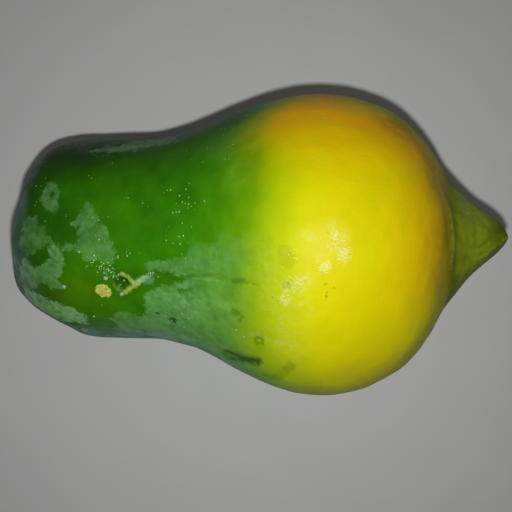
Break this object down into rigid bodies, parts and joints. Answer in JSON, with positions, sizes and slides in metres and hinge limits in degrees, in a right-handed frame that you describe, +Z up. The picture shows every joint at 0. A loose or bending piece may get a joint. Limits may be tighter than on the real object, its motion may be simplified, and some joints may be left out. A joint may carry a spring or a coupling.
{
  "type": "papaya",
  "caption": "Ripening papaya lying on its side, with a plump yellow bulb, a blunt green neck and a short pointed beak.",
  "frame": {"origin": "on the surface that the fruit lies on, under the centre of its bounding box", "axes": "+X along the fruit from the stem end towards the beak, +Y to the left flank, +Z up"},
  "size_m": [0.187, 0.1122, 0.1124],
  "materials": {
    "skin": "waxy fruit skin, green to yellow"
  },
  "bodies": {
    "root": {"papaya": "skin"}
  },
  "joints": []
}
